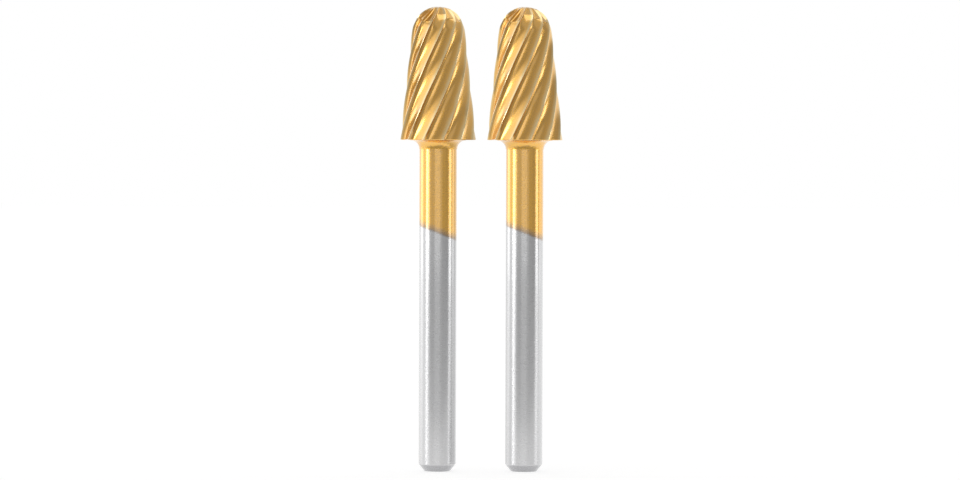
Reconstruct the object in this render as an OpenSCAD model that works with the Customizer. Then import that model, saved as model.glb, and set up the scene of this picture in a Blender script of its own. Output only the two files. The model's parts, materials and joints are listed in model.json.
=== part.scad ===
// A pair of ball-nosed taper burrs for a die grinder.
// Each burr is a fluted cutter head brazed on the spigot of a plain round shank.
// Sizes are in millimetres. +Z runs from the shank ends up to the noses and the front is -Y.
// The origin lies midway between the two shank ends.

/* [Pair] */
// Clear gap between the rims of the two heads
head_gap = 0.9; // [0.4:0.1:30]

/* [Shank] */
// Diameter of the shank, one eighth of an inch to suit a common collet
shank_d = 3.175; // [2.6:0.005:4.2]
// Length of the shank from its end to the shoulder under the head
shank_l = 28; // [24:0.5:60]
// Width of the end chamfer, across the radius
chamfer_w = 0.5; // [0.1:0.05:1]
// Height of the end chamfer, along the axis
chamfer_h = 0.6; // [0.1:0.05:2]
// Length of shank, measured on its axis, that stays bare below the gold coating
bare_l = 20.2; // [5:0.1:23]
// Slope of the coating's edge, falling from left to right across the front
coat_slope = 21; // [0:1:45]

/* [Braze joint] */
// Width of the shoulder between the shank and its spigot
shoulder_w = 0.45; // [0.4:0.05:0.8]
// Width of the broken edge round the shoulder
edge_break = 0.3; // [0.05:0.05:0.35]
// Height of the spigot above the shoulder
spigot_l = 3.2; // [1.5:0.1:5]
// Width of the lead-in chamfer on the spigot
lead_in = 0.2; // [0.05:0.05:0.4]
// Thickness of the braze film between the head and the shank
braze_t = 0.1; // [0.04:0.01:0.25]
// Radius of the braze fillet under the head
fillet_r = 0.75; // [0.3:0.05:1.1]
// Thickness of the fillet's feathered edges
fillet_edge = 0.03; // [0.02:0.01:0.1]

/* [Cutter head] */
// Diameter over the cutting edges at the rim of the head
head_d = 6.45; // [5.8:0.05:12]
// Length of the head from its rim to the tip of its nose
head_l = 11.3; // [9:0.1:25]
// Radius of the ball nose
nose_r = 2.25; // [1.5:0.05:2.7]

/* [Flutes] */
// Number of flutes
flutes = 12; // [8:1:16]
// Helix angle of the right-hand flutes
helix = 24.4; // [5:0.1:40]
// Angle about the axis of the first cutting edge at the rim, from the front towards the right
first_edge = 8.3; // [0:0.1:45]
// Depth of a flute at the rim
flute_depth = 0.34; // [0.2:0.01:0.6]
// Width of the rake face seen from above, at the rim
rake_w = 0.1; // [0.02:0.01:0.2]
// Width of the flute's rounded root, at the rim
root_w = 0.33; // [0.1:0.01:0.45]
// Width of the land behind each cutting edge, at the rim
land_w = 0.05; // [0.04:0.01:0.25]
// Dip of a tooth's hollow-ground back below a straight line, as a share of the flute's depth
back_hollow = 0.32; // [0:0.01:0.35]
// Angle above the nose's equator at which the lowest flat nose facets begin
nose_break = 23; // [15:1:30]
// Angle by which each facet of a set of three begins above the one to its right
nose_stagger = 9; // [4:1:12]
// Angle above the nose's equator at which the nose facets end
nose_end = 68; // [60:1:80]
// Depth of the nose teeth as a share of the flutes that they continue
nose_share = 0.9; // [0.2:0.05:1]

/* [Hidden] */
$fn = 96;
eps = 0.01;

gold = "#d2a24c";
steel = "#b4b4b6";

// Places along the axis, from the shank's end
shank_r = shank_d / 2;
spigot_r = shank_r - shoulder_w;
socket_r = spigot_r + braze_t;
spigot_top = shank_l + spigot_l;
rim_z = shank_l + braze_t;
burr_x = (head_d + head_gap) / 2;

// The flank is the tangent from the rim to the ball nose
rim_r = head_d / 2;
nose_z = head_l - nose_r;
flank_tilt = acos(nose_r / norm([rim_r, nose_z])) - atan2(nose_z, rim_r);
flank_top = nose_z + nose_r * sin(flank_tilt);

// Radius over the cutting edges at a height above the rim
function crest_r(z) =
    z < flank_top ? rim_r - z * tan(flank_tilt) : sqrt(nose_r^2 - (z - nose_z)^2);

// Angle at which the nose facet of one tooth begins. The facets come in sets of three, so that their
// ends don't crowd one ring of the nose.
facet_set = 3;
function break_of(tooth) = nose_break + nose_stagger * ((flutes + 1 - tooth) % facet_set);
function nose_height(angle) = nose_z + nose_r * sin(angle);

// Heights of the head's cross-sections: even steps up the flank, then even angles over the nose.
// Two sections at each start of a facet make the step from the flute to the facet.
flank_steps = 22;
nose_steps = 6;
step_angle = 2;
steps_end = nose_break + nose_stagger * (facet_set - 1) + step_angle;
nose_angles = concat(
    [flank_tilt],
    [for (i = [0 : facet_set - 1]) let (a = nose_break + nose_stagger * i) each [a, a + step_angle]],
    [for (i = [1 : nose_steps - 1]) steps_end + (90 - steps_end) * i / nose_steps]
);
levels = concat(
    [for (i = [0 : flank_steps - 1]) flank_top * i / flank_steps],
    [for (a = nose_angles) nose_height(a)]
);
facet_top = nose_height(nose_end);

// Turn of the flutes between two heights: one helix angle up the flank, one lead over the nose
function turn_between(low, high) =
    let (r = max(crest_r((low + high) / 2), crest_r(flank_top)))
    (high - low) * tan(helix) / r * 180 / PI;
function turn_at(k) = k == 0 ? 0 : turn_at(k - 1) + turn_between(levels[k - 1], levels[k]);
turns = [for (k = [0 : len(levels) - 1]) turn_at(k)];

// One stretch of a tooth's cross-section from p up to q, with a dip below the straight line
function stretch(p, q, dip, count) =
    [for (i = [0 : count - 1])
        let (s = i / count)
        p + (q - p) * s + [0, 4 * dip * s * (1 - s)]];

// One tooth in cross-section at the rim, as [angle from its cutting edge, depth as a share]:
// rake face, rounded root, hollow back and the start of the next land. A nose facet is nearly flat.
deg_per_mm = 360 / (PI * head_d);
pitch = 360 / flutes;
rake_foot = 0.65;
root_dip = 0.08;
root_start = [rake_w * deg_per_mm, rake_foot];
back_start = [(rake_w + root_w) * deg_per_mm, 1];
land_start = [pitch - land_w * deg_per_mm, 0];
function tooth(hollow) = concat(
    [[0, 0]],
    stretch(root_start, back_start, root_dip, 2),
    stretch(back_start, land_start, hollow, 4),
    [land_start]
);
flank_tooth = tooth(back_hollow);
nose_hollow = 0.04;
nose_tooth = tooth(nose_hollow);
ring_size = flutes * len(flank_tooth);

// Depth of a nose facet, which is flat between two points of the ball. The ridges stand clear of it.
ridge = 4;
function facet_cut(z, low) =
    let (s = (z - low) / (facet_top - low))
    s < 0 || s > 1 ? 0 : crest_r(z) - crest_r(low) * (1 - s) - crest_r(facet_top) * s;

// Points of one tooth's cross-section. Its flute shrinks with the head's radius, and again over the nose.
function tooth_points(k, tooth) =
    let (
        z = levels[k],
        r = crest_r(z),
        low = nose_height(break_of(tooth)),
        on_nose = z > low + eps,
        depth = flute_depth * r / rim_r * (on_nose ? nose_share : 1),
        cut = facet_cut(z, low)
    )
    [for (t = on_nose ? nose_tooth : flank_tooth)
        let (
            a = first_edge - 90 + turns[k] + tooth * pitch + t[0],
            edge_r = r - depth * t[1] - cut * min(ridge * t[1], 1)
        )
        [edge_r * cos(a), edge_r * sin(a), z]];

// Points of one cross-section, counted anticlockwise from the first cutting edge
function ring(k) = [for (i = [0 : flutes - 1]) each tooth_points(k, i)];

// Two triangles between neighbouring points of one cross-section and the next
function band(k) =
    [for (j = [0 : ring_size - 1])
        let (
            a = k * ring_size + j,
            b = k * ring_size + (j + 1) % ring_size,
            c = a + ring_size,
            d = b + ring_size
        )
        each [[a, c, b], [b, c, d]]];

module fluted_blank() {
    last = len(levels) - 1;
    points = concat([for (k = [0 : last]) each ring(k)], [[0, 0, 0], [0, 0, head_l]]);
    rim_centre = len(points) - 2;
    tip = len(points) - 1;
    faces = concat(
        [for (j = [0 : ring_size - 1]) [rim_centre, j, (j + 1) % ring_size]],
        [for (k = [0 : last - 1]) each band(k)],
        [for (j = [0 : ring_size - 1])
            [last * ring_size + j, tip, last * ring_size + (j + 1) % ring_size]]
    );
    polyhedron(points, faces);
}

// Head with the blind socket that takes the shank's spigot
module cutter_head() {
    color(gold) translate([0, 0, rim_z]) difference() {
        fluted_blank();
        translate([0, 0, -eps]) cylinder(r = socket_r, h = spigot_l + eps);
    }
}

// Half of the shank's outline, with its end chamfer, shoulder and spigot
module shank_outline() {
    polygon([
        [0, 0], [shank_r - chamfer_w, 0], [shank_r, chamfer_h],
        [shank_r, shank_l - edge_break], [shank_r - edge_break, shank_l],
        [spigot_r, shank_l], [spigot_r, spigot_top - lead_in], [spigot_r - lead_in, spigot_top],
        [0, spigot_top]
    ]);
}

// Braze alloy: it fills the socket round the spigot and draws into a concave fillet under the head,
// which stops short of the flutes
module braze_joint() {
    reach = min(fillet_r, rim_r - flute_depth - shank_r - fillet_edge);
    foot = rim_z - reach - fillet_edge;
    fillet_x = shank_r + fillet_edge + reach;
    color(gold) rotate_extrude() difference() {
        union() {
            translate([0, shank_l]) square([socket_r, spigot_l + braze_t]);
            translate([0, foot]) square([fillet_x, rim_z - foot]);
        }
        translate([fillet_x, foot]) circle(r = reach);
        shank_outline();
    }
}

// Space above the slanting edge of the coating
module coated_zone() {
    translate([0, 0, bare_l]) rotate([0, coat_slope, 0])
        translate([-spigot_top, -spigot_top, 0]) cube(2 * spigot_top);
}

module shank() {
    color(gold) intersection() {
        rotate_extrude() shank_outline();
        coated_zone();
    }
    color(steel) difference() {
        rotate_extrude() shank_outline();
        coated_zone();
    }
}

module at_left() { translate([-burr_x, 0, 0]) children(); }
module at_right() { translate([burr_x, 0, 0]) children(); }

at_left() cutter_head();  // left_cutter_head
at_left() braze_joint();  // left_braze_joint
at_left() shank();  // left_shank
at_right() cutter_head();  // right_cutter_head
at_right() braze_joint();  // right_braze_joint
at_right() shank();  // right_shank
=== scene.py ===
"""Builds the looks of a pair of ball-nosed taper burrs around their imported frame.

Lengths are in metres and angles in radians. +Z runs from the shank ends to the noses, and the front is -Y.
"""

import json
import math

import bpy
from bpy.props import FloatProperty, FloatVectorProperty, IntProperty, PointerProperty
from bpy.types import Operator, Panel, PropertyGroup
from mathutils import Matrix, Vector

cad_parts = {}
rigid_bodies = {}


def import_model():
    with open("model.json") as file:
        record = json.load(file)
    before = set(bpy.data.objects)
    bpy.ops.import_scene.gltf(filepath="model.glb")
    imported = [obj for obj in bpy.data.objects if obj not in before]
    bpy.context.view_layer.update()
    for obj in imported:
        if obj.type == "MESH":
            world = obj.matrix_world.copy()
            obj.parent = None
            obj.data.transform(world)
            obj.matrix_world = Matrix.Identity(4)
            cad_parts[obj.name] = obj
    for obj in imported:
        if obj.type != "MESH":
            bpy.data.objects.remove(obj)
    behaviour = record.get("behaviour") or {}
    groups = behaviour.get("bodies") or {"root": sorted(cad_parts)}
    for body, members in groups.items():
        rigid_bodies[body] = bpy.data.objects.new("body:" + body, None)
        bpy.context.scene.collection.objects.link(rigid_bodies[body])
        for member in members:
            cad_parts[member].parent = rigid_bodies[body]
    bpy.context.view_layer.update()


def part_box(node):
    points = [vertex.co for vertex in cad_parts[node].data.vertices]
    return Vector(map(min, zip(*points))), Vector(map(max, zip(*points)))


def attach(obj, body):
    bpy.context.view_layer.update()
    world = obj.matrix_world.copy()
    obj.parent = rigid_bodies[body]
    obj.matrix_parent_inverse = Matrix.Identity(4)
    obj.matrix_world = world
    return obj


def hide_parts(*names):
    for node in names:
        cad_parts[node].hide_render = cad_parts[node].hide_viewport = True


bl_info = {
    "name": "Taper burr pair",
    "version": (1, 0, 0),
    "blender": (4, 5, 0),
    "location": "3D View > Sidebar > Burrs",
    "description": "Fluted heads, braze fillets and ground shanks for a pair of burrs, with a small studio",
    "category": "Object",
}

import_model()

MM = 0.001
SIDES = ("left", "right")
BODY = "root"
FLUTE_MAP = "flute"
FLUTE_DEPTH = "flute_depth"

# Places along a burr, from its frame
HEAD_LOW, HEAD_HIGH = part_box("left_cutter_head")
BRAZE_LOW, BRAZE_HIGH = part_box("left_braze_joint")
SHANK_LOW, SHANK_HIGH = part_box("left_shank")
SHANK_R = (SHANK_HIGH.x - SHANK_LOW.x) / 2
FILLET_R = (BRAZE_HIGH.x - BRAZE_LOW.x) / 2
HEAD_L = HEAD_HIGH.z - HEAD_LOW.z


def axis_x(side):
    """Place of one burr's axis."""
    low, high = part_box(f"{side}_shank")
    return (low.x + high.x) / 2


def linear(hex_colour):
    """Linear RGBA of an sRGB hex colour."""
    channels = [int(hex_colour[i : i + 2], 16) / 255 for i in (1, 3, 5)]
    return [c / 12.92 if c <= 0.04045 else ((c + 0.055) / 1.055) ** 2.4 for c in channels] + [1.0]


def length(name, description, millimetres):
    """A length that a user can set."""
    return FloatProperty(
        name=name, description=description, default=millimetres * MM, unit="LENGTH", precision=5
    )


def angle(name, description, degrees):
    """An angle that a user can set."""
    return FloatProperty(name=name, description=description, default=math.radians(degrees), subtype="ANGLE")


def share(name, description, default):
    """A share, from 0 to 1, that a user can set."""
    return FloatProperty(
        name=name, description=description, default=default, min=0, max=1, subtype="FACTOR"
    )


def colour(name, description, hex_colour):
    """A colour that a user can set."""
    return FloatVectorProperty(
        name=name, description=description, default=linear(hex_colour), subtype="COLOR", size=4
    )


class BurrHead(PropertyGroup):
    """Sizes and colours of the fluted heads"""

    flutes: IntProperty(name="Flutes", description="Number of flutes", default=12, min=4)
    rim_r: length("Rim radius", "Radius over the cutting edges at the rim", 3.225)
    helix: angle("Helix", "Helix angle of the flutes", 24.4)
    first_edge: angle("First edge", "First cutting edge at the rim, from the front towards the right", 8.3)
    depth: length("Flute depth", "Depth of a flute at the rim", 0.34)
    rake: length("Rake face", "Width of the rake face from above", 0.1)
    root: length("Root", "Width of the flute's rounded root", 0.33)
    land: length("Land", "Width of the land behind a cutting edge", 0.05)
    hollow: share("Hollow", "Dip of a tooth's hollow-ground back, as a share of the depth", 0.32)
    nose_r: length("Nose radius", "Radius of the ball nose", 2.25)
    nose_break: angle("Nose break", "Angle above the nose's equator where the lowest nose facets begin", 23)
    nose_stagger: angle("Nose stagger", "How far each facet of a set begins above the one to its right", 9)
    nose_end: angle("Nose end", "Angle above the nose's equator where the nose facets end", 68)
    nose_share: share("Nose depth", "Depth of the nose teeth as a share of the flutes", 0.9)
    # Painted light and shade: the coating is pale on the cutting edges and a deeper, darker gold down the
    # flutes
    gold: colour("Coating", "Gold of the coating on the cutting edges", "#F2DEA6")
    flute_shade_gold: colour("Deep coating", "Gold in the flutes, where the coating lies thicker", "#EEB23C")


class BurrShank(PropertyGroup):
    """Sizes and colours of the shanks and their braze joints"""

    chamfer_w: length("Chamfer width", "End chamfer across the radius", 0.5)
    chamfer_h: length("Chamfer height", "End chamfer along the axis", 0.6)
    shoulder_w: length("Shoulder", "Width of the shoulder round the spigot", 0.45)
    edge_break: length("Broken edge", "Width of the broken edge round the shoulder", 0.3)
    lead_in: length("Lead-in", "Chamfer on the spigot", 0.2)
    braze_t: length("Braze film", "Thickness of the braze round the spigot", 0.1)
    fillet_edge: length("Fillet edge", "Thickness of the fillet's feathered edges", 0.03)
    bare: length("Bare length", "Length on the axis below the coating's edge", 20.2)
    slope: angle("Edge slope", "Slope of the coating's edge, falling to the right across the front", 21)
    gold: colour("Coating", "Gold of the coating on the steel", "#F8BC42")
    scorch: colour("Thin coating", "Brown-grey of the thin coating along its edge", "#A08C78")
    steel: colour("Steel", "Bare ground steel", "#CECECF")
    # Painted shade: the end chamfer's darker steel, where it faces down to the floor
    shaded: colour("Shaded chamfer", "Duller steel of the turned chamfer", "#AEAEB0")


class BurrStudio(PropertyGroup):
    """Camera, backdrop and lamps"""

    distance: length("Camera distance", "From the camera to the burrs", 380)
    eye: length("Eye level", "Height of the camera", 28)
    aim: FloatVectorProperty(
        name="Aim",
        description="Point at the middle of the picture",
        subtype="TRANSLATION",
        default=(-0.1 * MM, 0.0, 19.62 * MM),
    )
    roll: angle("Roll", "Lean of the camera", 0.2)
    lens: FloatProperty(name="Lens", description="Focal length", default=168.0, unit="CAMERA")
    dark_turn: angle("Dark side", "Direction of the room's dark side, from the camera towards the right", 32)
    front: colour("Dark wall", "World colour low on the room's dark side", "#A3A3A3")
    rear: colour("White wall", "World colour low all round", "#FFFFFF")
    top: colour("Ceiling", "World colour above", "#C4C4C4")
    floor: colour("Floor", "Pale floor", "#D0D0D0")


# How finely the meshes are cut, and the angle in degrees above which an edge stays sharp
RAKE_STEPS, ROOT_STEPS, BACK_STEPS = 4, 12, 18
FLANK_STEPS, NOSE_STEPS = 110, 72
LATHE_SIDES = 256
ARC_STEPS = 24
HEAD_SHARP = 12
LATHE_SHARP = 30

# Small forms of the head: foot of the rake face and dip of the root as shares of the flute's depth,
# the broken edge round the rim, the step to the nose facets with their flatter backs, the facets in
# a staggered set, and how soon a facet gives way to its ridge
RAKE_FOOT = 0.65
ROOT_DIP = 0.08
RIM_BREAK = 0.05 * MM
NOSE_RAMP = 0.06 * MM
NOSE_HOLLOW = 0.04
FACET_SET = 3
RIDGE = 4


def steps(count):
    """Even steps from 0 up to, but not including, 1."""
    return [i / count for i in range(count)]


def flank_tilt(head):
    """Angle of the flank from the axis: the flank is the tangent from the rim to the ball nose."""
    nose_z = HEAD_L - head.nose_r
    return math.acos(head.nose_r / math.hypot(head.rim_r, nose_z)) - math.atan2(nose_z, head.rim_r)


def nose_height(head, up):
    """Height above the rim of a point of the ball nose, from its angle above the nose's equator."""
    return HEAD_L - head.nose_r + head.nose_r * math.sin(up)


def crest_radius(head, z):
    """Radius over the cutting edges at a height above the rim."""
    tilt = flank_tilt(head)
    if z < nose_height(head, tilt):
        return head.rim_r - z * math.tan(tilt) - max(RIM_BREAK - z, 0)
    return math.sqrt(max(head.nose_r**2 - (z - nose_height(head, 0)) ** 2, 0))


def tooth_section(head, hollow):
    """One tooth at the rim, from a cutting edge to the next, as (angle, share of the flute's depth)."""
    corners = [
        (0, 0),
        (head.rake / head.rim_r, RAKE_FOOT),
        ((head.rake + head.root) / head.rim_r, 1),
        (math.tau / head.flutes - head.land / head.rim_r, 0),
    ]
    points = []
    stretches = ((RAKE_STEPS, 0), (ROOT_STEPS, ROOT_DIP), (BACK_STEPS, hollow))
    for (count, dip), (a0, share0), (a1, share1) in zip(stretches, corners, corners[1:]):
        for s in steps(count):
            points.append((a0 + (a1 - a0) * s, share0 + (share1 - share0) * s + 4 * dip * s * (1 - s)))
    return points + corners[-1:]


def head_heights(head):
    """Heights of the cross-sections above the rim: even up the flank, then even angles over the nose."""
    tilt = flank_tilt(head)
    flank_top = nose_height(head, tilt)
    angles = [tilt + (math.pi / 2 - tilt) * s for s in steps(NOSE_STEPS)]
    flank = [0, *(RIM_BREAK + (flank_top - RIM_BREAK) * s for s in steps(FLANK_STEPS))]
    return flank + [nose_height(head, a) for a in angles]


def flute_turns(head, heights):
    """Turn of the flutes at each height: one helix angle up the flank, one lead over the nose."""
    least_r = head.nose_r * math.cos(flank_tilt(head))
    turns = [0.0]
    for low, high in zip(heights, heights[1:]):
        r = max(crest_radius(head, (low + high) / 2), least_r)
        turns.append(turns[-1] + (high - low) * math.tan(head.helix) / r)
    return turns


def facet_start(head, tooth):
    """Height above the rim at which the nose facet of one tooth begins."""
    place = (head.flutes + 1 - tooth) % FACET_SET
    return nose_height(head, head.nose_break + head.nose_stagger * place)


def nose_cut(head, z, low):
    """Depth of a nose facet, flat between two points of the ball, and its share of the nose form."""
    high = nose_height(head, head.nose_end)
    rise = min(max((z - low) / NOSE_RAMP, 0), 1)
    if not low < z < high:
        return 0, rise
    s = (z - low) / (high - low)
    chord = crest_radius(head, low) * (1 - s) + crest_radius(head, high) * s
    return crest_radius(head, z) - chord, rise


def flute_points(head, heights):
    """Points of the fluted surface ring by ring, their places on its map, and their shares of the depth."""
    flank_tooth = tooth_section(head, head.hollow)
    nose_tooth = tooth_section(head, NOSE_HOLLOW)
    pitch = math.tau / head.flutes
    starts = [facet_start(head, i) for i in range(head.flutes)]
    points, marks, shares = [], [], []
    for z, turn in zip(heights, flute_turns(head, heights)):
        r = crest_radius(head, z)
        for i, low in enumerate(starts):
            cut, rise = nose_cut(head, z, low)
            depth = head.depth * r / head.rim_r * (1 + (head.nose_share - 1) * rise)
            for (across, low_share), (_, high_share) in zip(flank_tooth, nose_tooth):
                a = head.first_edge - math.pi / 2 + turn + i * pitch + across
                inward = low_share + (high_share - low_share) * rise
                edge_r = r - depth * inward - cut * min(inward * RIDGE, 1)
                points.append((edge_r * math.cos(a), edge_r * math.sin(a), HEAD_LOW.z + z))
                marks.append(((i * pitch + across) * head.rim_r / MM, z / MM))
                shares.append(inward)
    return points, marks, shares


def socket_radius(shank):
    """Radius of the head's socket, which takes the spigot and the braze film round it."""
    return SHANK_R - shank.shoulder_w + shank.braze_t


def head_mesh(head):
    """One fluted head about the Z axis, closed by its rim face and its blind socket."""
    heights = head_heights(head)
    points, marks, shares = flute_points(head, heights)
    ring = len(points) // len(heights)
    tip = len(points)
    points.append((0, 0, HEAD_HIGH.z))
    faces = []
    for k in range(len(heights) - 1):
        for j in range(ring):
            a, b = k * ring + j, k * ring + (j + 1) % ring
            faces.append((a, b, b + ring, a + ring))
    fluted = len(faces)
    last = (len(heights) - 1) * ring
    faces += [(last + j, last + (j + 1) % ring, tip) for j in range(ring)]
    socket_r = socket_radius(bpy.context.scene.burr_shank)
    for z in (HEAD_LOW.z, BRAZE_HIGH.z):
        for j in range(ring):
            a = math.tau * j / ring + head.first_edge - math.pi / 2
            points.append((socket_r * math.cos(a), socket_r * math.sin(a), z))
    mouth, top = tip + 1, tip + 1 + ring
    for j in range(ring):
        n = (j + 1) % ring
        faces.append((n, j, mouth + j, mouth + n))
        faces.append((mouth + n, mouth + j, top + j, top + n))
    faces.append([top + j for j in reversed(range(ring))])
    mesh = bpy.data.meshes.new("fluted_head")
    mesh.from_pydata(points, [], faces)
    map_flutes(mesh, marks, fluted, ring, math.tau * head.rim_r / MM)
    depths = mesh.attributes.new(FLUTE_DEPTH, "FLOAT", "POINT")
    for entry, inward in zip(depths.data, shares):
        entry.value = inward
    smooth(mesh, HEAD_SHARP)
    return mesh


def map_flutes(mesh, marks, fluted, ring, round_rim):
    """Lays a map over the fluted faces, in millimetres across and up the flutes."""
    layer = mesh.uv_layers.new(name=FLUTE_MAP)
    for face in mesh.polygons[:fluted]:
        seam = any(v % ring == ring - 1 for v in face.vertices)
        for loop in face.loop_indices:
            v = mesh.loops[loop].vertex_index
            across, up = marks[v]
            layer.data[loop].uv = (across + (round_rim if seam and v % ring == 0 else 0), up)


def smooth(mesh, sharp_degrees):
    """Shades a mesh smooth, apart from edges sharper than an angle."""
    mesh.shade_smooth()
    mesh.set_sharp_from_angle(angle=math.radians(sharp_degrees))
    mesh.validate()
    mesh.update()


def rounded(outline, radius, count=4):
    """An outline with each inner corner rounded by a small arc."""
    points = [Vector(p) for p in outline]
    result = [points[0]]
    for before, corner, after in zip(points, points[1:], points[2:]):
        start = corner + (before - corner).normalized() * radius
        end = corner + (after - corner).normalized() * radius
        for i in range(count + 1):
            s = i / count
            result.append((1 - s) ** 2 * start + 2 * s * (1 - s) * corner + s**2 * end)
    result.append(points[-1])
    return result


def lathe(name, outline):
    """Turns an outline of (radius, height), from the axis to the axis, about Z."""
    points, rings, faces = [], [], []
    for r, z in outline:
        if r == 0:
            rings.append([len(points)] * LATHE_SIDES)
            points.append((0, 0, z))
            continue
        rings.append([len(points) + j for j in range(LATHE_SIDES)])
        for s in steps(LATHE_SIDES):
            points.append((r * math.cos(math.tau * s), r * math.sin(math.tau * s), z))
    for low, high in zip(rings, rings[1:]):
        for j in range(LATHE_SIDES):
            n = (j + 1) % LATHE_SIDES
            faces.append(tuple(dict.fromkeys((low[j], low[n], high[n], high[j]))))
    mesh = bpy.data.meshes.new(name)
    mesh.from_pydata(points, [], faces)
    smooth(mesh, LATHE_SHARP)
    return mesh


def spigot_outline(shank):
    """The shank's outline above its fillet: broken edge, shoulder, spigot and lead-in."""
    spigot_r = SHANK_R - shank.shoulder_w
    shoulder_z = HEAD_LOW.z - shank.braze_t
    return [
        (SHANK_R, shoulder_z - shank.edge_break),
        (SHANK_R - shank.edge_break, shoulder_z),
        (spigot_r, shoulder_z),
        (spigot_r, SHANK_HIGH.z - shank.lead_in),
        (spigot_r - shank.lead_in, SHANK_HIGH.z),
        (0, SHANK_HIGH.z),
    ]


def shank_mesh(shank):
    """One shank with its end chamfer, its shoulder and its spigot."""
    corner_r = 0.04 * MM
    plain = [(0, 0), (SHANK_R - shank.chamfer_w, 0), (SHANK_R, shank.chamfer_h)]
    return lathe("ground_shank", rounded(plain + spigot_outline(shank), corner_r))


def braze_mesh(shank):
    """One braze joint: the film round the spigot and the concave fillet under the head."""
    foot = BRAZE_LOW.z
    socket_r = socket_radius(shank)
    reach = FILLET_R - SHANK_R - shank.fillet_edge
    arc = []
    for i in range(ARC_STEPS + 1):
        a = math.pi - math.pi / 2 * i / ARC_STEPS
        arc.append((FILLET_R + reach * math.cos(a), foot + reach * math.sin(a)))
    outline = spigot_outline(shank)[::-1] + [(SHANK_R, foot)] + arc
    outline += [(FILLET_R, HEAD_LOW.z), (socket_r, HEAD_LOW.z), (socket_r, BRAZE_HIGH.z), (0, BRAZE_HIGH.z)]
    return lathe("braze_joint", outline)


def burr_group(side):
    """The pieces of one burr, for the lamps that light it."""
    name = f"{side}_burr"
    return bpy.data.collections.get(name) or bpy.data.collections.new(name)


def place_pair(mesh, piece_name, part, material):
    """Sets one mesh on the axis of each burr, where it stands for that burr's own node."""
    mesh.materials.append(material)
    for side in SIDES:
        piece = bpy.data.objects.new(f"{side}_{piece_name}", mesh)
        piece.location.x = axis_x(side)
        bpy.context.collection.objects.link(piece)
        burr_group(side).objects.link(piece)
        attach(piece, BODY)
        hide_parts(f"{side}_{part}")


def add_node(tree, kind, inputs=None, **settings):
    """Adds a node with its settings. An input takes a value, or a socket to link from."""
    node = tree.nodes.new(kind)
    for name, value in settings.items():
        setattr(node, name, value)
    for name, value in (inputs or {}).items():
        if isinstance(value, bpy.types.NodeSocket):
            tree.links.new(value, node.inputs[name])
        else:
            node.inputs[name].default_value = value
    return node


def new_material(name):
    """An empty node material and its output node."""
    material = bpy.data.materials.new(name)
    material.use_nodes = True
    material.node_tree.nodes.clear()
    return material, add_node(material.node_tree, "ShaderNodeOutputMaterial")


def coated_carbide(head):
    """Titanium nitride, vapour-deposited on ground tungsten carbide.

    A gold metal film that follows the carbide: satin, with hairlines left by the wheel along each flute
    and a fine grain, both drawn coarser than they are so that they show. Its colour is painted light and
    shade by depth: pale on the cutting edges and a deeper, darker gold down in the flutes, with clouds
    between. A clear skin of oil over it gives the sharp lights, and its IOR is raised above oil's so that
    they come out white.
    """
    hairline_w, hairline_l = 0.07, 2.0
    hairline_share = 0.6
    grain = 0.09 * MM
    cloud = 1.6 * MM
    relief = 0.002 * MM
    material, output = new_material("titanium_nitride_on_ground_carbide")
    tree = material.node_tree
    place = add_node(tree, "ShaderNodeTexCoord")
    flute = add_node(tree, "ShaderNodeUVMap", uv_map=FLUTE_MAP)
    along = add_node(
        tree,
        "ShaderNodeMapping",
        {"Vector": flute.outputs["UV"], "Scale": (1 / hairline_w, 1 / hairline_l, 1)},
    )
    hairlines = add_node(
        tree, "ShaderNodeTexNoise", {"Vector": along.outputs["Vector"], "Scale": 1.0, "Detail": 3.0}
    )
    grains = add_node(
        tree,
        "ShaderNodeTexNoise",
        {"Vector": place.outputs["Object"], "Scale": 1 / grain, "Detail": 2.0},
    )
    clouds = add_node(
        tree,
        "ShaderNodeTexNoise",
        {"Vector": place.outputs["Object"], "Scale": 1 / cloud, "Detail": 4.0},
    )
    # Painted shade: the gold darkens with the depth down the flutes, and clouds add random tone
    depth = add_node(tree, "ShaderNodeAttribute", attribute_name=FLUTE_DEPTH)
    inward = add_node(
        tree,
        "ShaderNodeMapRange",
        {"Value": depth.outputs["Fac"], "From Max": 0.6, "To Min": 0.1},
    )
    cloudy = add_node(
        tree,
        "ShaderNodeMapRange",
        {"Value": clouds.outputs["Fac"], "From Min": 0.35, "From Max": 0.75, "To Max": 0.3},
    )
    tone = add_node(
        tree,
        "ShaderNodeMath",
        {0: inward.outputs["Result"], 1: cloudy.outputs["Result"]},
        operation="ADD",
        use_clamp=True,
    )
    gold = add_node(
        tree,
        "ShaderNodeMix",
        {"Factor": tone.outputs["Value"], "A": head.gold, "B": head.flute_shade_gold},
        data_type="RGBA",
    )
    height = add_node(
        tree,
        "ShaderNodeMath",
        {0: hairlines.outputs["Fac"], 1: hairline_share, 2: grains.outputs["Fac"]},
        operation="MULTIPLY_ADD",
    )
    bump = add_node(
        tree,
        "ShaderNodeBump",
        {"Height": height.outputs["Value"], "Strength": 1.0, "Distance": relief},
    )
    rough = add_node(
        tree,
        "ShaderNodeMapRange",
        {
            "Value": hairlines.outputs["Fac"],
            "From Min": 0.3,
            "From Max": 0.7,
            "To Min": 0.19,
            "To Max": 0.23,
        },
    )
    shader = add_node(
        tree,
        "ShaderNodeBsdfPrincipled",
        {
            "Base Color": gold.outputs["Result"],
            "Metallic": 1.0,
            "Roughness": rough.outputs["Result"],
            "Normal": bump.outputs["Normal"],
            "Coat Weight": 1.0,
            "Coat Roughness": 0.07,
            "Coat IOR": 2.0,
        },
    )
    tree.links.new(shader.outputs["BSDF"], output.inputs["Surface"])
    return material


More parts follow.
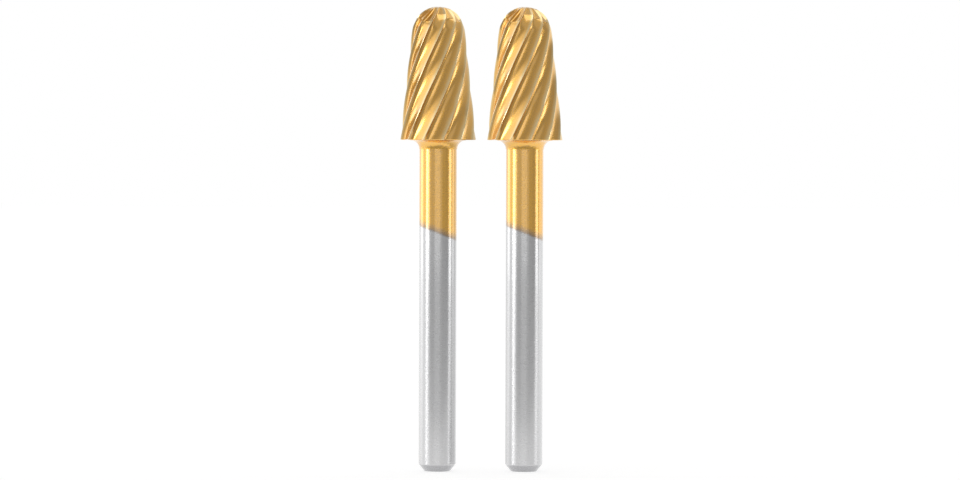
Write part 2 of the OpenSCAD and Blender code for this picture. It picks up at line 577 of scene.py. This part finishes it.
def coated_braze(shank):
    """Titanium nitride on a silver-braze fillet.

    The alloy froze with a soft orange-peel skin, so the gold film on it is smoother than on ground
    metal, and its reflections waver. The clear skin of oil lies over it too.
    """
    ripple, relief = 0.35 * MM, 0.06 * MM
    material, output = new_material("titanium_nitride_on_braze")
    tree = material.node_tree
    place = add_node(tree, "ShaderNodeTexCoord")
    skin = add_node(
        tree,
        "ShaderNodeTexNoise",
        {"Vector": place.outputs["Object"], "Scale": 1 / ripple, "Detail": 3.0},
    )
    bump = add_node(
        tree,
        "ShaderNodeBump",
        {"Height": skin.outputs["Fac"], "Strength": 1.0, "Distance": relief},
    )
    rough = add_node(
        tree,
        "ShaderNodeMapRange",
        {"Value": skin.outputs["Fac"], "From Min": 0.3, "From Max": 0.7, "To Min": 0.2, "To Max": 0.32},
    )
    shader = add_node(
        tree,
        "ShaderNodeBsdfPrincipled",
        {
            "Base Color": shank.gold,
            "Metallic": 1.0,
            "Roughness": rough.outputs["Result"],
            "Normal": bump.outputs["Normal"],
            "Coat Weight": 1.0,
            "Coat Roughness": 0.08,
            "Coat IOR": 1.9,
        },
    )
    tree.links.new(shader.outputs["BSDF"], output.inputs["Surface"])
    return material


def ground_steel(shank):
    """Centreless-ground tool steel, with titanium nitride above a slanting edge.

    The grinding wheel leaves fine lines round the shank, drawn coarser than they are so that they show.
    They spread reflections along it and keep them crisp across it, so the lamps show as upright bands with
    slightly ragged sides. The coating thins out to a brown-grey edge, and blotches roughen the neck towards
    the braze. The end chamfer is painted a darker steel, as painted shade where it faces down to the floor.
    The clear skin of oil lies over all of it.
    """
    line_w, line_l = 0.085 * MM, 0.45 * MM
    line_h = 0.004 * MM
    blotch = 0.5 * MM
    most_blotched = 5.0
    ragged_w = 0.25 * MM
    edge_w, thin_w = 0.1 * MM, 0.65 * MM
    material, output = new_material("ground_steel_with_coated_neck")
    tree = material.node_tree
    place = add_node(tree, "ShaderNodeTexCoord")
    split = add_node(tree, "ShaderNodeSeparateXYZ", {"Vector": place.outputs["Object"]})
    round_shank = add_node(
        tree,
        "ShaderNodeMapping",
        {"Vector": place.outputs["Object"], "Scale": (1 / line_l, 1 / line_l, 1 / line_w)},
    )
    lines = add_node(
        tree, "ShaderNodeTexNoise", {"Vector": round_shank.outputs["Vector"], "Scale": 1.0, "Detail": 2.0}
    )
    blotches = add_node(
        tree,
        "ShaderNodeTexNoise",
        {"Vector": place.outputs["Object"], "Scale": 1 / blotch, "Detail": 4.0},
    )
    fall = add_node(
        tree,
        "ShaderNodeMath",
        {0: split.outputs["X"], 1: math.tan(shank.slope), 2: split.outputs["Z"]},
        operation="MULTIPLY_ADD",
    )
    ragged = add_node(
        tree,
        "ShaderNodeMath",
        {0: lines.outputs["Fac"], 1: ragged_w, 2: fall.outputs["Value"]},
        operation="MULTIPLY_ADD",
    )
    edge = shank.bare + ragged_w / 2
    coated = add_node(
        tree,
        "ShaderNodeMapRange",
        {"Value": ragged.outputs["Value"], "From Min": edge - edge_w, "From Max": edge + edge_w},
    )
    thick = add_node(
        tree,
        "ShaderNodeMapRange",
        {"Value": ragged.outputs["Value"], "From Min": edge, "From Max": edge + thin_w},
    )
    film = add_node(
        tree,
        "ShaderNodeMix",
        {"Factor": thick.outputs["Result"], "A": shank.scorch, "B": shank.gold},
        data_type="RGBA",
    )
    # Painted shade: the end chamfer gets the darker steel
    above_chamfer = add_node(
        tree,
        "ShaderNodeMapRange",
        {
            "Value": split.outputs["Z"],
            "From Min": shank.chamfer_h - edge_w,
            "From Max": shank.chamfer_h,
        },
    )
    bare = add_node(
        tree,
        "ShaderNodeMix",
        {"Factor": above_chamfer.outputs["Result"], "A": shank.shaded, "B": shank.steel},
        data_type="RGBA",
    )
    surface = add_node(
        tree,
        "ShaderNodeMix",
        {"Factor": coated.outputs["Result"], "A": bare.outputs["Result"], "B": film.outputs["Result"]},
        data_type="RGBA",
    )
    neck = add_node(
        tree,
        "ShaderNodeMapRange",
        {
            "Value": split.outputs["Z"],
            "From Min": shank.bare,
            "From Max": BRAZE_LOW.z,
            "To Min": 0.0,
            "To Max": most_blotched,
        },
    )
    skin = add_node(
        tree,
        "ShaderNodeMath",
        {0: blotches.outputs["Fac"], 1: neck.outputs["Result"], 2: lines.outputs["Fac"]},
        operation="MULTIPLY_ADD",
    )
    bump = add_node(
        tree,
        "ShaderNodeBump",
        {"Height": skin.outputs["Value"], "Strength": 1.0, "Distance": line_h},
    )
    rough = add_node(
        tree,
        "ShaderNodeMapRange",
        {"Value": lines.outputs["Fac"], "From Min": 0.3, "From Max": 0.7, "To Min": 0.26, "To Max": 0.32},
    )
    tangent = add_node(tree, "ShaderNodeTangent", direction_type="RADIAL", axis="Z")
    shader = add_node(
        tree,
        "ShaderNodeBsdfPrincipled",
        {
            "Base Color": surface.outputs["Result"],
            "Metallic": 1.0,
            "Roughness": rough.outputs["Result"],
            "Normal": bump.outputs["Normal"],
            "Anisotropic": 0.8,
            "Anisotropic Rotation": 0.25,
            "Tangent": tangent.outputs["Tangent"],
            "Coat Weight": 1.0,
            "Coat Roughness": 0.08,
            "Coat IOR": 1.9,
        },
    )
    tree.links.new(shader.outputs["BSDF"], output.inputs["Surface"])
    return material


class BURR_OT_heads(Operator):
    """Builds both fluted heads"""

    bl_idname = "burr.heads"
    bl_label = "Cutter heads"

    def execute(self, context):
        head = context.scene.burr_head
        place_pair(head_mesh(head), "fluted_head", "cutter_head", coated_carbide(head))
        return {"FINISHED"}


class BURR_OT_fillets(Operator):
    """Builds both braze joints"""

    bl_idname = "burr.fillets"
    bl_label = "Braze fillets"

    def execute(self, context):
        shank = context.scene.burr_shank
        place_pair(braze_mesh(shank), "braze_fillet", "braze_joint", coated_braze(shank))
        return {"FINISHED"}


class BURR_OT_shanks(Operator):
    """Builds both ground shanks"""

    bl_idname = "burr.shanks"
    bl_label = "Shanks"

    def execute(self, context):
        shank = context.scene.burr_shank
        place_pair(shank_mesh(shank), "ground_shank", "shank", ground_steel(shank))
        return {"FINISHED"}


# Softboxes as seen from the heads, in degrees: azimuth from the camera towards the right, elevation,
# width and height, and then the radiance
LAMP_DISTANCE = 0.7
SOFTBOXES = {
    "left_strip": (-66, 5, 26, 14, 1.3),
    "left_edge": (-70, 6, 14, 16, 2.4),
    "left_rear": (-116, 5, 26, 14, 1.1),
    "left_far": (-142, 20, 24, 18, 0.15),
    "left_wing": (-102, 21, 50, 18, 0.3),
    "front_left": (-38, 6, 34, 14, 0.38),
    "front_card": (-3, 6, 34, 14, 0.9),
    "front_side": (20, 6, 14, 14, 0.4),
    "front_right": (38, 12, 22, 14, 0.25),
    "right_strip": (81, 4, 20, 14, 2.0),
    "right_rear": (108, 4, 18, 13, 0.8),
    "overhead": (20, 80, 50, 34, 0.9),
}


def aimed(azimuth, elevation, distance):
    """A place round the heads, and the turn that faces them from there."""
    a, e = math.radians(azimuth), math.radians(elevation)
    away = Vector((math.sin(a) * math.cos(e), -math.cos(a) * math.cos(e), math.sin(e)))
    return Vector((0, 0, HEAD_LOW.z)) + away * distance, away.to_track_quat("Z", "Y").to_euler()


def clear_way(side, cards):
    """What doesn't hide the lamps from one burr: the other burr, and the cards between them."""
    group = bpy.data.collections.new(f"clear_of_{side}_burr")
    other = next(name for name in SIDES if name != side)
    for thing in (*burr_group(other).objects, *cards):
        group.objects.link(thing)
    for entry in group.collection_objects:
        entry.light_linking.link_state = "EXCLUDE"
    return group


def softbox(name, azimuth, elevation, width, height, radiance, clear_ways):
    """A rectangular lamp that faces the burrs, with one copy for each.

    Each burr is lit as if it stood alone, so the lamps show on its inner side too.
    """
    lamp = bpy.data.lights.new(name, "AREA")
    lamp.shape = "RECTANGLE"
    lamp.size, lamp.size_y = (2 * LAMP_DISTANCE * math.tan(math.radians(a / 2)) for a in (width, height))
    lamp.energy = radiance * math.pi * lamp.size * lamp.size_y
    for side in SIDES:
        holder = bpy.data.objects.new(f"{name}_for_{side}_burr", lamp)
        holder.location, holder.rotation_euler = aimed(azimuth, elevation, LAMP_DISTANCE)
        holder.visible_camera = False
        holder.light_linking.receiver_collection = burr_group(side)
        holder.light_linking.blocker_collection = clear_ways[side]
        bpy.context.collection.objects.link(holder)


def stage_sheet(name, corners, material):
    """A flat sheet of the studio."""
    mesh = bpy.data.meshes.new(name)
    mesh.from_pydata(corners, [], [range(len(corners))])
    mesh.materials.append(material)
    sheet = bpy.data.objects.new(name, mesh)
    bpy.context.collection.objects.link(sheet)
    return sheet


def seen_directly(tree):
    """1 for what the camera sees, directly or in metal or glass, and 0 for light on matt surfaces."""
    path = add_node(tree, "ShaderNodeLightPath")
    seen = path.outputs["Is Camera Ray"]
    for ray in ("Is Glossy Ray", "Is Transmission Ray"):
        either = add_node(tree, "ShaderNodeMath", {0: seen, 1: path.outputs[ray]}, operation="MAXIMUM")
        seen = either.outputs["Value"]
    return seen


def white_floor(studio):
    """Matt white board. What sees it directly or in metal sees it glow, but less so towards the camera."""
    near, far = -50 * MM, -9 * MM
    full_glow = 0.64
    material, output = new_material("white_board")
    tree = material.node_tree
    place = add_node(tree, "ShaderNodeTexCoord")
    split = add_node(tree, "ShaderNodeSeparateXYZ", {"Vector": place.outputs["Object"]})
    level = add_node(
        tree,
        "ShaderNodeMapRange",
        {"Value": split.outputs["Y"], "From Min": near, "From Max": far, "To Max": full_glow},
        interpolation_type="SMOOTHSTEP",
    )
    glow = add_node(
        tree, "ShaderNodeMath", {0: seen_directly(tree), 1: level.outputs["Result"]}, operation="MULTIPLY"
    )
    shader = add_node(
        tree,
        "ShaderNodeBsdfPrincipled",
        {
            "Base Color": studio.floor,
            "Roughness": 0.8,
            "Specular IOR Level": 0.0,
            "Emission Color": (1, 1, 1, 1),
            "Emission Strength": glow.outputs["Value"],
        },
    )
    tree.links.new(shader.outputs["BSDF"], output.inputs["Surface"])
    return material


def graded_card(name, near, far):
    """Glowing card, its glow graded from its front edge to the back."""
    start, end = -2.5 * MM, 3 * MM
    material, output = new_material(name)
    tree = material.node_tree
    place = add_node(tree, "ShaderNodeTexCoord")
    split = add_node(tree, "ShaderNodeSeparateXYZ", {"Vector": place.outputs["Object"]})
    level = add_node(
        tree,
        "ShaderNodeMapRange",
        {"Value": split.outputs["Y"], "From Min": start, "From Max": end, "To Min": near, "To Max": far},
    )
    light = add_node(tree, "ShaderNodeEmission", {"Strength": level.outputs["Result"]})
    tree.links.new(light.outputs["Emission"], output.inputs["Surface"])
    return material


class BURR_OT_studio(Operator):
    """Builds the camera, the room, the floor, the cards between the burrs and the lamps"""

    bl_idname = "burr.studio"
    bl_label = "Studio"

    def execute(self, context):
        scene = context.scene
        studio = scene.burr_studio
        scene.view_settings.view_transform = "Standard"
        self.make_camera(scene, studio)
        self.make_world(scene, studio)
        self.make_floor(studio)
        cards = self.make_cards()
        clear_ways = {side: clear_way(side, cards) for side in SIDES}
        for name, settings in SOFTBOXES.items():
            softbox(name, *settings, clear_ways)
        return {"FINISHED"}

    def make_camera(self, scene, studio):
        data = bpy.data.cameras.new("camera")
        data.lens = studio.lens
        camera = bpy.data.objects.new("camera", data)
        aim = Vector(studio.aim)
        place = Vector((aim.x, -studio.distance, studio.eye))
        turn = (aim - place).to_track_quat("-Z", "Y").to_matrix().to_4x4()
        camera.matrix_world = Matrix.Translation(place) @ turn @ Matrix.Rotation(studio.roll, 4, "Z")
        scene.collection.objects.link(camera)
        scene.camera = camera

    def make_world(self, scene, studio):
        dark_edge, white_edge = 0.26, -0.09
        walls_end, ceiling_start = 0.4, 0.58
        world = bpy.data.worlds.new("studio")
        scene.world = world
        world.use_nodes = True
        tree = world.node_tree
        tree.nodes.clear()
        place = add_node(tree, "ShaderNodeTexCoord")
        split = add_node(tree, "ShaderNodeSeparateXYZ", {"Vector": place.outputs["Generated"]})
        dark_way = Vector((math.sin(studio.dark_turn), -math.cos(studio.dark_turn), 0))
        towards = add_node(
            tree,
            "ShaderNodeVectorMath",
            {0: place.outputs["Generated"], 1: dark_way},
            operation="DOT_PRODUCT",
        )
        aside = add_node(
            tree,
            "ShaderNodeMapRange",
            {"Value": towards.outputs["Value"], "From Min": dark_edge, "From Max": white_edge},
            interpolation_type="SMOOTHSTEP",
        )
        walls = add_node(
            tree,
            "ShaderNodeMix",
            {"Factor": aside.outputs["Result"], "A": studio.front, "B": studio.rear},
            data_type="RGBA",
        )
        above = add_node(
            tree,
            "ShaderNodeMapRange",
            {"Value": split.outputs["Z"], "From Min": walls_end, "From Max": ceiling_start},
            interpolation_type="SMOOTHSTEP",
        )
        shade = add_node(
            tree,
            "ShaderNodeMix",
            {"Factor": above.outputs["Result"], "A": walls.outputs["Result"], "B": studio.top},
            data_type="RGBA",
        )
        background = add_node(
            tree, "ShaderNodeBackground", {"Color": shade.outputs["Result"], "Strength": 1.0}
        )
        output = add_node(tree, "ShaderNodeOutputWorld")
        tree.links.new(background.outputs["Background"], output.inputs["Surface"])

    def make_floor(self, studio):
        half = 1.5
        corners = [(-half, -half, 0), (half, -half, 0), (half, half, 0), (-half, half, 0)]
        stage_sheet("floor", corners, white_floor(studio))

    def make_cards(self):
        """Two glowing cards, back to back between the burrs and out of sight, so neither burr shows in the
        other; each shows the cards' glow instead, as a painted reflection.
        """
        back, top = 60 * MM, 60 * MM
        shank_front, head_front = -1.65 * MM, -3 * MM
        apart = 0.02 * MM
        cards = []
        for side, x, near, far in (("left", -apart, 0.4, 0.9), ("right", apart, 0.9, 0.9)):
            corners = [
                (x, back, 0),
                (x, back, top),
                (x, head_front, top),
                (x, head_front, HEAD_LOW.z),
                (x, shank_front, HEAD_LOW.z),
                (x, shank_front, 0),
            ]
            card = stage_sheet(f"{side}_card", corners, graded_card(f"{side}_card", near, far))
            card.visible_camera = False
            card.visible_diffuse = False
            card.visible_shadow = False
            cards.append(card)
        return cards


class BURR_PT_panel(Panel):
    """Lists the sizes, colours and steps of the burrs"""

    bl_idname = "BURR_PT_panel"
    bl_label = "Burrs"
    bl_space_type = "VIEW_3D"
    bl_region_type = "UI"
    bl_category = "Burrs"

    def draw(self, context):
        for group, operators in PANEL_ROWS:
            settings = getattr(context.scene, group)
            for name in settings.__annotations__:
                self.layout.prop(settings, name)
            for operator in operators:
                self.layout.operator(operator)


PANEL_ROWS = (
    ("burr_head", ("burr.heads",)),
    ("burr_shank", ("burr.fillets", "burr.shanks")),
    ("burr_studio", ("burr.studio",)),
)
GROUPS = {"burr_head": BurrHead, "burr_shank": BurrShank, "burr_studio": BurrStudio}
CLASSES = (*GROUPS.values(), BURR_OT_heads, BURR_OT_fillets, BURR_OT_shanks, BURR_OT_studio, BURR_PT_panel)


def register():
    for cls in CLASSES:
        bpy.utils.register_class(cls)
    for name, group in GROUPS.items():
        setattr(bpy.types.Scene, name, PointerProperty(type=group))


def unregister():
    for name in GROUPS:
        delattr(bpy.types.Scene, name)
    for cls in reversed(CLASSES):
        bpy.utils.unregister_class(cls)


def main():
    register()
    bpy.ops.burr.heads()
    bpy.ops.burr.fillets()
    bpy.ops.burr.shanks()
    bpy.ops.burr.studio()


if __name__ == "__main__":
    main()
